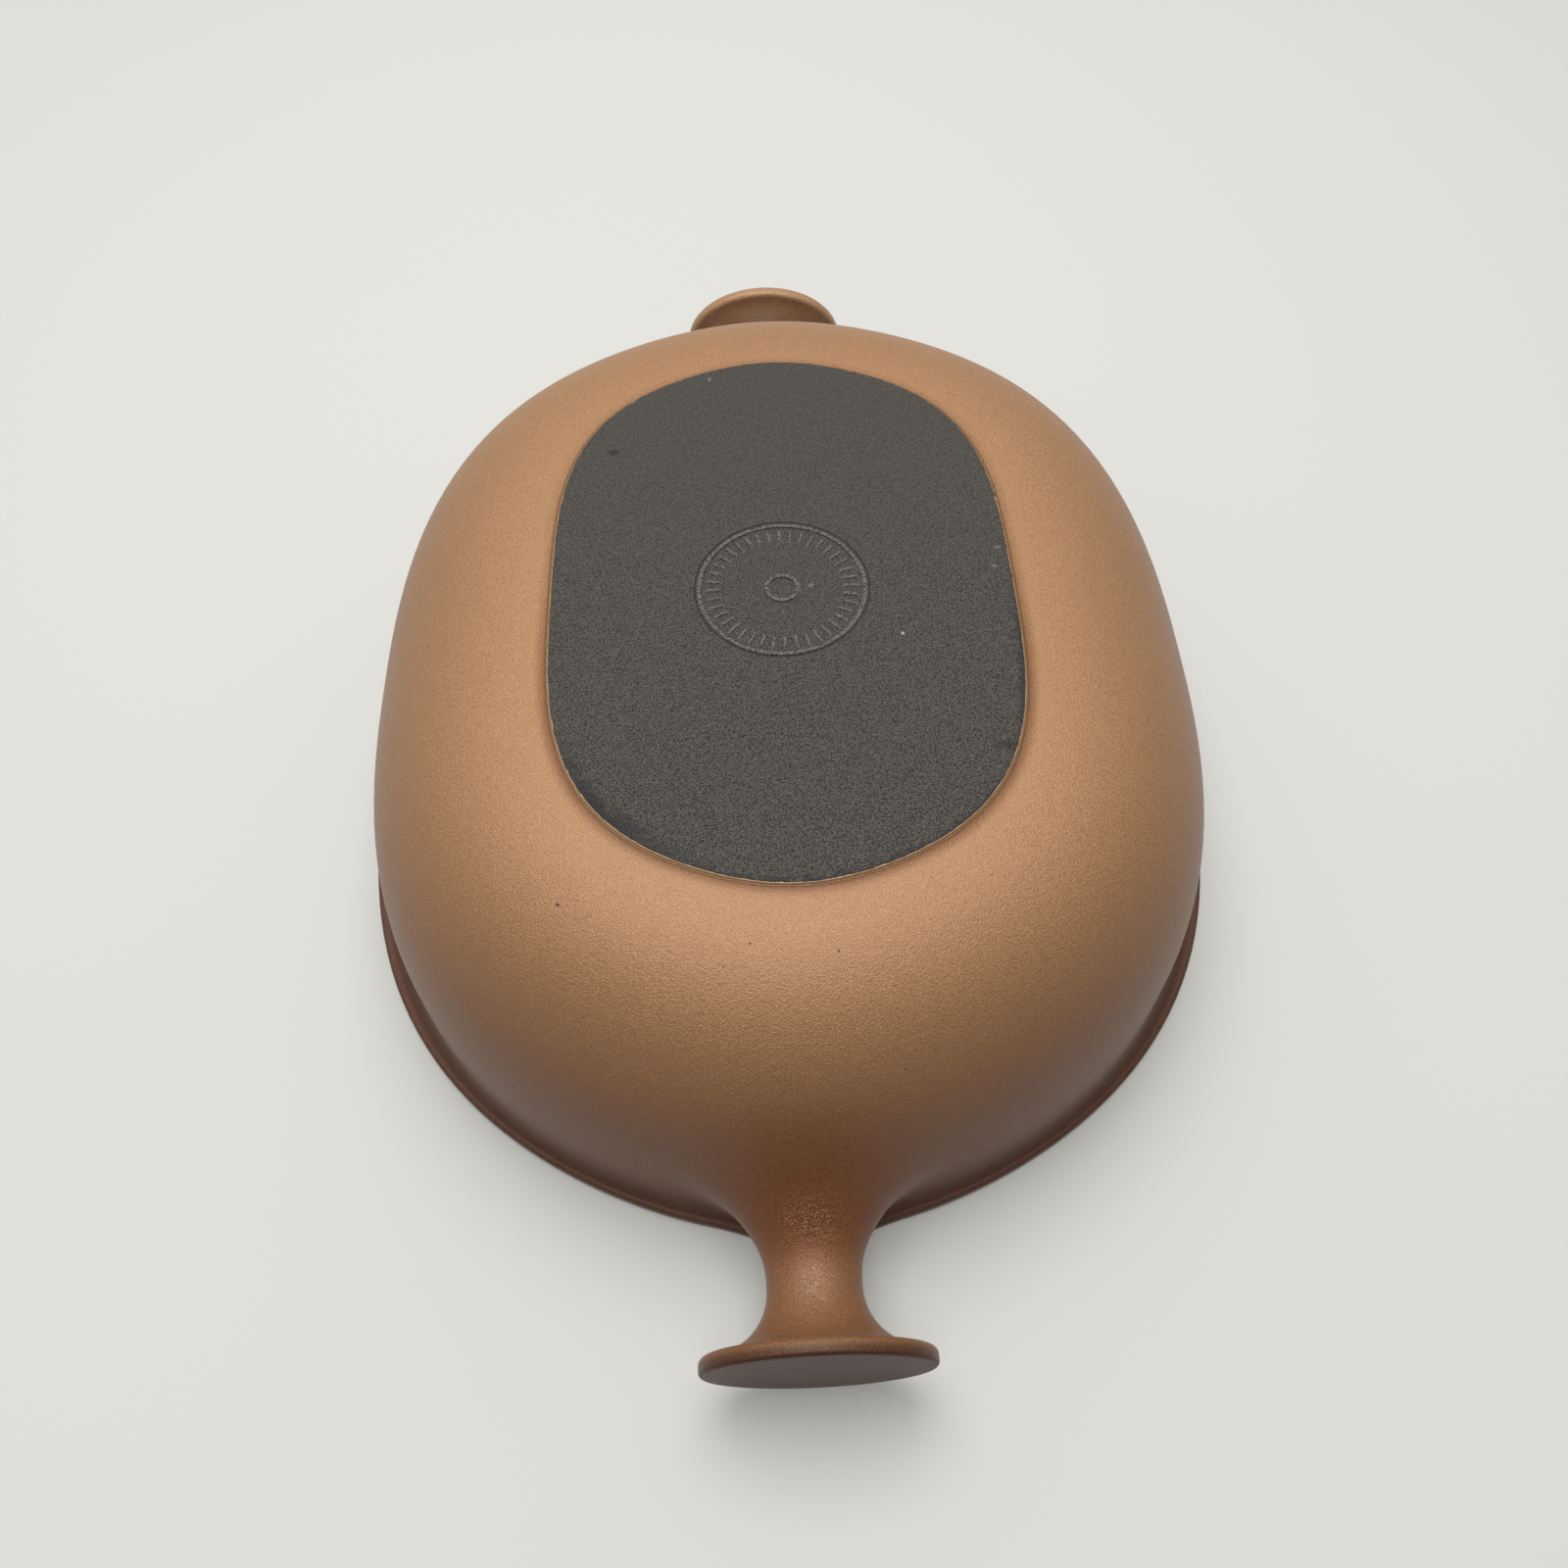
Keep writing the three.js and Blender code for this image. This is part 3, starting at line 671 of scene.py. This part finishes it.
colour = blend_colour(copper, 0.75, colour, creased_and_shaded)
# The ground edge is bare glass, painted pale only towards the front, partly as a painted highlight.
pale_edge_and_highlight = ranged(copper, named_value(copper, "pale_edge_and_highlight"), 0.7, 1)
pale_edge_glint = calculated(copper, "MULTIPLY", pale_edge_and_highlight, ranged(copper, grain["Peel"], 0.36, 0.56))
colour = blend_colour(copper, pale_edge_glint, colour, (0.4, 0.29, 0.19, 1))
colour = blend_colour(copper, grain["Pinhole"], colour, (0.05, 0.03, 0.02, 1))

# The near handle's stem and cove are worn to a pitted grain whose golden specks are painted glints. The
# other marks are a few specks and scratches, one of them a scratch whose glint is painted.
golden_glints = ranged(copper, grain["Speckle"], 0.68, 0.95)
pitted = ranged(copper, grain["Speckle"], 0.27, 0.1)
for middle, reach, share, patch_colour in (
    ((0, -0.1295, 0.033), (0.012, 0.0085, 0.02), golden_glints, (0.5, 0.3, 0.14, 1)),
    ((0.001, -0.129, 0.033), (0.0095, 0.0075, 0.02), pitted, (0.07, 0.03, 0.018, 1)),
    ((0, -0.1405, 0.029), (0.0065, 0.0095, 0.01), golden_glints, (0.42, 0.25, 0.13, 1)),
    ((-0.001, -0.1435, 0.029), (0.0034, 0.0085, 0.01), pitted, (0.055, 0.028, 0.018, 1)),
    ((0.02, -0.1565, 0.0267), (0.0013, 0.001, 0.0013), 1, (0.03, 0.016, 0.012, 1)),
    ((0.0165, -0.1565, 0.0262), (0.0038, 0.001, 0.0007), 1, (0.14, 0.09, 0.065, 1)),
    # A scratch on the near flange's top, painted as its glint.
    ((-0.004, -0.1552, 0.0391), (0.0009, 0.0004, 0.0005), 1, (0.4, 0.26, 0.16, 1)),
    ((-0.048, -0.0768, 0.074), (0.0009, 0.0007, 0.002), 1, (0.04, 0.024, 0.016, 1)),
    ((-0.0101, -0.0879, 0.0758), (0.0006, 0.0006, 0.002), 1, (0.05, 0.03, 0.02, 1)),
    ((0.0071, -0.0901, 0.0752), (0.0006, 0.0006, 0.002), 1, (0.05, 0.03, 0.02, 1)),
):
    patch = use_group(copper, soft_patch, Middle=middle, Reach=reach, Ragged=0.4, Ragged_size=0.0015)
    worn = calculated(copper, "MULTIPLY", patch["Mask"], share)
    colour = blend_colour(copper, worn, colour, patch_colour)
gloss = ranged(copper, grain["Speckle"], 0, 1, 0.39, 0.53, "LINEAR")
clear_glass = ranged(copper, on_face, 0, 1, 0.11, 0, "LINEAR")
peel_bump = fine_bump(copper, grain["Peel"], 0.00021)
set_look(copper, Base_Color=colour, Roughness=gloss, Coat_Weight=clear_glass, Normal=peel_bump)

# The skin is a shell. Its inner face lies one thickness under the outer one, and a flat rim joins
# the two along its top and foot.
outer_faces = quads + triangles
normals = point_normals(points, outer_faces)
top_edge, foot_edge = ring_index[0], ring_index[-1]
level_edges = np.concatenate([top_edge, foot_edge])
normals[level_edges, 2] = 0
normals[level_edges] /= np.linalg.norm(normals[level_edges], axis=1)[:, None]
shift = len(points)
shell_points = np.concatenate([points, points - normals * skin_thickness])
shell_faces = outer_faces + [tuple(i + shift for i in face[::-1]) for face in outer_faces]
for edge, first in ((top_edge, 0), (foot_edge, shift)):
    outer, inner = edge + shift - first, edge + first
    shell_faces.extend(zip(outer, inner, np.roll(inner, -1), np.roll(outer, -1)))
skin = add_piece("copper_skin", shell_points, shell_faces, copper_enamel, "outer_enamel")

# Glass draws thin and burns darker in the crease round the base, and the darkening there is partly painted
# shade. The ground edge is bare glass, painted pale only where it faces the front, partly as a painted
# highlight. Points above the base step count as far from the crease.
far_off = 100
front_highlight_start, front_highlight_end = -15, 30
x, y = points[:, 0] / step_oval[1], points[:, 1] / step_oval[0]
beyond_step = np.hypot(x, y) / oval_reach(step_oval, np.arctan2(y, x)) - 1
from_step = beyond_step * np.hypot(points[:, 0], points[:, 1])
from_step[points[:, 2] > step_foot + 0.05] = far_off
edge_top = dish_height - coat_lap - base_corner
# The pale edge share fades out towards the back, so it works as a painted highlight.
bare_and_lit_share = np.clip((points[:, 2] - step_foot) / (edge_top - step_foot), 0, 1)
bare_and_lit_share *= smooth_step(-points[:, 1], front_highlight_start, front_highlight_end)
add_value(skin, "from_step", np.tile(from_step, 2) / 1000)
add_value(skin, "pale_edge_and_highlight", np.tile(bare_and_lit_share, 2))

# The matt coat on the base. The flat oval is ground after casting and sprayed with a dry black
# coat, which is a little ragged at its edge. A shallow round field is sunk in the middle.
coat_thickness = 0.5
coat_gap = 0.05
field_radius = 20
field_depth = 0.35
field_slope = 0.35
coat_columns = 900
coat_corner = 0.15
crisp_gap = 0.08
flat_steps = 7
edge_band = 6
coat_oval = inset_oval(base_oval, coat_gap)
field_oval = make_oval(2 * field_radius, 2 * field_radius, 2, 2)
field_floor = dish_height - field_depth
coat_rings = [(field_oval * [share, share, 1, 1], field_floor) for share in (0.2, 0.5, 0.8)]
for inset in (field_slope + crisp_gap, field_slope):
    coat_rings.append((inset_oval(field_oval, inset), field_floor))
for inset in (0, -crisp_gap):
    coat_rings.append((inset_oval(field_oval, inset), dish_height))
for share in np.linspace(0, 1, flat_steps + 1)[1:]:
    coat_rings.append((field_oval + (inset_oval(coat_oval, edge_band) - field_oval) * share, dish_height))
for inset in (4.5, 3, 2, 1.2, 0.6):
    coat_rings.append((inset_oval(coat_oval, inset), dish_height))
edge_start = len(coat_rings)
for sine, cosine in quarter_turn(corner_steps):
    corner_oval = inset_oval(coat_oval, coat_corner * (1 - sine))
    coat_rings.append((corner_oval, dish_height - coat_corner * (1 - cosine)))
coat_rings.append((coat_oval, dish_height - coat_thickness))


def closed_stack(rings, angles):
    """Points and faces of a solid of stacked rings, closed at both ends with a fan."""
    count = len(angles)
    points = [ring_of(oval, height, angles) for oval, height in rings]
    centres = [[0, 0, rings[0][1]], [0, 0, rings[-1][1]]]
    index = np.arange(len(rings) * count).reshape(len(rings), count)
    beside = np.roll(index, -1, axis=1)
    faces = []
    for upper, lower, upper_beside, lower_beside in zip(index, index[1:], beside, beside[1:]):
        faces.extend(zip(upper, lower, lower_beside, upper_beside))
    first, last = index.size, index.size + 1
    faces.extend((first, a, b) for a, b in zip(index[0], beside[0]))
    faces.extend((last, b, a) for a, b in zip(index[-1], beside[-1]))
    return np.concatenate([*points, centres]), faces


coat_angles = column_angles(coat_columns)
coat_points, coat_faces = closed_stack(coat_rings, coat_angles)

# The spray mask leaves the edge wavy, with a few chips and one larger nick on the right.
generator = np.random.default_rng(25)
chip_count = 26
wave_height = 0.02
chip_softness = 1.5
nick_x, nick_y = 52.3, 25.2
nick_angle = math.atan2(nick_y, nick_x)
edge_place = coat_points[edge_start * coat_columns:][:coat_columns]
edge_away = edge_place * [1, 1, 0] / np.linalg.norm(edge_place[:, :2], axis=1)[:, None]
wander = np.zeros(coat_columns)
for waves in (37, 61, 97, 151):
    wander += wave_height * np.sin(waves * coat_angles + generator.uniform(0, 2 * np.pi))
chips = []
for _ in range(chip_count):
    chip_angle, chip_width = generator.uniform(0, 2 * np.pi), generator.uniform(0.25, 0.6)
    chips.append((chip_angle, chip_width, generator.uniform(-0.3, 0.1)))
chips += [(nick_angle + 0.02, 0.5, 0.32), (nick_angle, 0.55, -0.5)]
edge_angles = np.arctan2(edge_place[:, 1], edge_place[:, 0])
from_origin = np.linalg.norm(edge_place, axis=1)
for chip_angle, chip_width, chip_out in chips:
    beside = np.angle(np.exp(1j * (edge_angles - chip_angle))) * from_origin
    wander += chip_out * np.exp(-(beside / chip_width / chip_softness) ** 2)
for ring in range(edge_start, len(coat_rings)):
    coat_points[ring * coat_columns:][:coat_columns] += edge_away * wander[:, None]

# The coat is dry and gritty, and its grain is painted fainter on the far half, as painted light, where the
# light shows it less.
matt_coat, matt = new_material("matt_coat", Roughness=0.72, Specular_IOR_Level=0.4)
grain = use_group(matt, fired_grain, Peel_size=0.00045, Speckle_size=0.00037, Pinhole_share=0.05)
gritty = blend_colour(matt, grain["Speckle"], (0.003, 0.0026, 0.0022, 1), (0.124, 0.111, 0.094, 1))
coat_place = object_place(matt)
along = add_node(matt, "ShaderNodeSeparateXYZ", Vector=coat_place).outputs["Y"]
far_faint_grain = blend_colour(matt, 0.45, (0.063, 0.056, 0.048, 1), gritty)
colour = blend_colour(matt, ranged(matt, along, 0.09, -0.03), far_faint_grain, gritty)
darker, lighter, white = (0.02, 0.02, 0.022, 1), (0.16, 0.147, 0.128, 1), (0.5, 0.48, 0.44, 1)

# It is smudged darker along its edge in three places, and has a few single marks.
base_top = dish_height / 1000
ragged_noise = noise(matt, coat_place, 700, 4)
ragged_edge = calculated(matt, "MULTIPLY_ADD", ragged_noise, 0.006, named_value(matt, "from_edge"))
for width, middle, reach in (
    (0.0068, (-0.04, -0.058, base_top), (0.034, 0.034, 0.02)),
    (0.0052, (0.052, -0.022, base_top), (0.024, 0.05, 0.02)),
    (0.0044, (0.012, -0.06, base_top), (0.1, 0.07, 0.02)),
):
    by_edge = ranged(matt, ragged_edge, width, width * 0.6)
    patch = use_group(matt, soft_patch, Middle=middle, Reach=reach, Ragged=0.5, Ragged_size=0.003)
    smudge = calculated(matt, "MULTIPLY", by_edge, patch["Mask"])
    colour = blend_colour(matt, 0.85, colour, blend_colour(matt, smudge, colour, darker))
for middle, reach, ragged, patch_colour in (
    ((-0.0395, 0.0453, base_top), (0.0026, 0.0022, 0.01), 0.5, darker),
    ((0.0455, -0.0455, base_top), (0.0065, 0.0022, 0.01), 0.7, darker),
    ((0.0505, 0.0095, base_top), (0.0018, 0.001, 0.01), 0.5, lighter),
    ((0.049, 0.0038, base_top), (0.0014, 0.001, 0.01), 0.5, lighter),
    ((0.0262, -0.0148, base_top), (0.0006, 0.0006, 0.01), 0.2, white),
    ((-0.0156, 0.0704, base_top), (0.0008, 0.0015, 0.01), 0.2, lighter),
):
    patch = use_group(matt, soft_patch, Middle=middle, Reach=reach, Ragged=ragged, Ragged_size=0.0006)
    colour = blend_colour(matt, patch["Mask"], colour, patch_colour)
colour = blend_colour(matt, grain["Pinhole"], colour, lighter)
# A dark line along the sunk field's edge is painted shade for its crease.
field_edge_shade = ranged(matt, named_value(matt, "from_field"), 0.0003, 0)
colour = blend_colour(matt, field_edge_shade, colour, (0.02, 0.018, 0.016, 1))
rubbed = calculated(
    matt, "MULTIPLY", named_value(matt, "rubbed"), ranged(matt, grain["Peel"], 0.35, 0.55))
colour = blend_colour(matt, rubbed, colour, lighter)
set_look(matt, Base_Color=colour, Normal=fine_bump(matt, grain["Peel"], 0.0004))
coat = add_piece("base_coat_matt", coat_points, coat_faces, matt_coat, "base_coat")
x, y = coat_points[:, 0] / coat_oval[1], coat_points[:, 1] / coat_oval[0]
inside_edge = 1 - np.hypot(x, y) / oval_reach(coat_oval, np.arctan2(y, x))
add_value(coat, "from_edge", inside_edge * np.hypot(*(coat_oval[:2])) / math.sqrt(2) / 1000)
add_value(coat, "from_field", np.abs(np.linalg.norm(coat_points[:, :2], axis=1) - field_radius) / 1000)

# The field holds a low cast relief, poured with the iron and coated with the base: a flat-topped
# line round the rim, even ticks inside it, and a small round line and a pip in the middle. Their
# tops are rubbed paler. The sizes are in metres.
relief_tree = bpy.data.node_groups.new("field_relief", "GeometryNodeTree")
relief_values = (
    ("Tick count", "NodeSocketInt", 40), ("Tick radius", "NodeSocketFloat", 0.0158),
    ("Tick length", "NodeSocketFloat", 0.0036), ("Tick width", "NodeSocketFloat", 0.0009),
    ("Rim radius", "NodeSocketFloat", 0.019), ("Middle radius", "NodeSocketFloat", 0.0036),
    ("Line width", "NodeSocketFloat", 0.0009), ("Relief", "NodeSocketFloat", 0.0003),
    ("Pip width", "NodeSocketFloat", 0.002), ("Pip place", "NodeSocketVector", (0.0067, 0.0002, 0)),
    ("Floor height", "NodeSocketFloat", field_floor / 1000), ("Material", "NodeSocketMaterial", matt_coat),
)
relief_sockets = {}
for label, kind, value in relief_values:
    relief_sockets[label] = relief_tree.interface.new_socket(label, in_out="INPUT", socket_type=kind)
relief_tree.interface.new_socket("Geometry", in_out="OUTPUT", socket_type="NodeSocketGeometry")
sizes_in = relief_tree.nodes.new("NodeGroupInput").outputs
relief_height = sizes_in["Relief"]


def relief_size(length, width):
    return add_node(relief_tree, "ShaderNodeCombineXYZ", X=length, Y=width, Z=relief_height).outputs[0]


def tapered(sides, top, bottom):
    """A blunt cone of height 1, which is a block with 4 sides and a dome with many."""
    cone = add_node(
        relief_tree, "GeometryNodeMeshCone", Vertices=sides, Radius_Top=top, Radius_Bottom=bottom, Depth=1)
    return cone.outputs["Mesh"]


block_top, block_foot = 0.5, 0.7071
dome_sides, dome_top, dome_foot = 16, 0.35, 0.5
line_steps, line_top_share = 128, 0.6
block = add_node(
    relief_tree, "GeometryNodeTransform",
    Geometry=tapered(4, block_top, block_foot), Rotation=(0, 0, math.pi / 4))
tick_ring = add_node(
    relief_tree, "GeometryNodeMeshCircle", Vertices=sizes_in["Tick count"], Radius=sizes_in["Tick radius"])
tick_place = relief_tree.nodes.new("GeometryNodeInputPosition").outputs["Position"]
tick_turn = add_node(relief_tree, "FunctionNodeAlignRotationToVector", Vector=tick_place)
tick_turn.axis = "X"
ticks = add_node(
    relief_tree, "GeometryNodeInstanceOnPoints", Points=tick_ring.outputs["Mesh"],
    Instance=block.outputs["Geometry"], Rotation=tick_turn.outputs["Rotation"],
    Scale=relief_size(sizes_in["Tick length"], sizes_in["Tick width"]))
pip = add_node(
    relief_tree, "GeometryNodeTransform", Geometry=tapered(dome_sides, dome_top, dome_foot),
    Translation=sizes_in["Pip place"], Scale=relief_size(sizes_in["Pip width"], sizes_in["Pip width"]))
line_section = relief_tree.nodes.new("GeometryNodeCurvePrimitiveQuadrilateral")
line_section.mode = "TRAPEZOID"
feed_by_name(
    relief_tree, line_section, Height=calculated(relief_tree, "MULTIPLY", relief_height, 2),
    Bottom_Width=sizes_in["Line width"],
    Top_Width=calculated(relief_tree, "MULTIPLY", sizes_in["Line width"], line_top_share), Offset=0)
relief_parts = [ticks.outputs["Instances"], pip.outputs["Geometry"]]
for radius in ("Rim radius", "Middle radius"):
    circle = add_node(
        relief_tree, "GeometryNodeCurvePrimitiveCircle", Resolution=line_steps, Radius=sizes_in[radius])
    line = add_node(
        relief_tree, "GeometryNodeCurveToMesh", Curve=circle.outputs["Curve"],
        Profile_Curve=line_section.outputs["Curve"])
    relief_parts.append(line.outputs["Mesh"])
joined = relief_tree.nodes.new("GeometryNodeJoinGeometry")
for part in relief_parts:
    relief_tree.links.new(part, joined.inputs[0])
floor_place = add_node(relief_tree, "ShaderNodeCombineXYZ", Z=sizes_in["Floor height"]).outputs[0]
shape = joined.outputs["Geometry"]
for kind, values in (
    ("GeometryNodeTransform", {"Translation": floor_place}),
    ("GeometryNodeSetShadeSmooth", {"Shade_Smooth": False}),
    ("GeometryNodeStoreNamedAttribute", {"Name": "rubbed", "Value": 1}),
    ("GeometryNodeRealizeInstances", {}),
    ("GeometryNodeSetMaterial", {"Material": sizes_in["Material"]}),
):
    shape = add_node(relief_tree, kind, Geometry=shape, **values).outputs["Geometry"]
relief_tree.links.new(shape, relief_tree.nodes.new("NodeGroupOutput").inputs["Geometry"])
relief = bpy.data.objects.new("base_field_relief", bpy.data.meshes.new("base_field_relief"))
bpy.context.scene.collection.objects.link(relief)
modifier = relief.modifiers.new("relief", "NODES")
modifier.node_group = relief_tree
for label, _, value in relief_values:
    modifier[relief_sockets[label].identifier] = value
evaluated = relief.evaluated_get(bpy.context.evaluated_depsgraph_get())
relief_mesh = bpy.data.meshes.new_from_object(evaluated)
relief.modifiers.clear()
relief.data = relief_mesh
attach(relief, "root")

# The rim edge, a narrow flat band that the upturned dish rests on. The colour is wiped off it
# before firing, so that the dark ground coat shows.
edge_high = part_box("rim_edge")[1]
edge_height = edge_high.z * 1000
edge_corner = 0.5
edge_outside = inset_oval(rim_oval, rim_width / 2 - edge_high.x * 1000)
wall_thickness = 4.3
rim_flare = 1
edge_inside = inset_oval(belly_oval, wall_thickness - rim_flare)
edge_section = [(edge_inside, edge_height), (edge_outside, edge_height)]
corner = []
for sine, cosine in quarter_turn(corner_steps):
    corner.append((edge_corner * (1 - cosine), edge_corner * (1 - sine)))
edge_section += [(inset_oval(edge_outside, depth), height) for depth, height in corner]
edge_section += [(inset_oval(edge_inside, -depth), height) for depth, height in reversed(corner)]
edge_points = np.concatenate([ring_of(oval, height, angles) for oval, height in edge_section])
index = np.arange(len(edge_points)).reshape(len(edge_section), columns)
below, beside = np.roll(index, -1, axis=0), np.roll(index, -1, axis=1)
below_beside = np.roll(below, -1, axis=1)
edge_faces = list(zip(index.ravel(), below.ravel(), below_beside.ravel(), beside.ravel()))

ground_coat, ground = new_material("ground_coat", Roughness=0.5)
grain = use_group(ground, fired_grain, Speckle_size=0.0005)
colour = blend_colour(ground, grain["Speckle"], (0.022, 0.018, 0.015, 1), (0.036, 0.03, 0.026, 1))
set_look(ground, Base_Color=colour)
add_piece("rim_edge_band", edge_points, edge_faces, ground_coat, "rim_edge")

# The lining, a smooth cream glass that is poured in wet, drained and fired. The upturned dish hides
# it, and its plain shell is already the real shape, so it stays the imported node.
dark_cream, light_cream = (0.78, 0.72, 0.59, 1), (0.82, 0.76, 0.64, 1)
cream_enamel, cream = new_material("cream_enamel", Roughness=0.18)
clouds = noise(cream, object_place(cream), 28, 3)
set_look(cream, Base_Color=blend_colour(cream, clouds, dark_cream, light_cream))
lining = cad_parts["inner_enamel"]
lining.data.materials.clear()
lining.data.materials.append(cream_enamel)
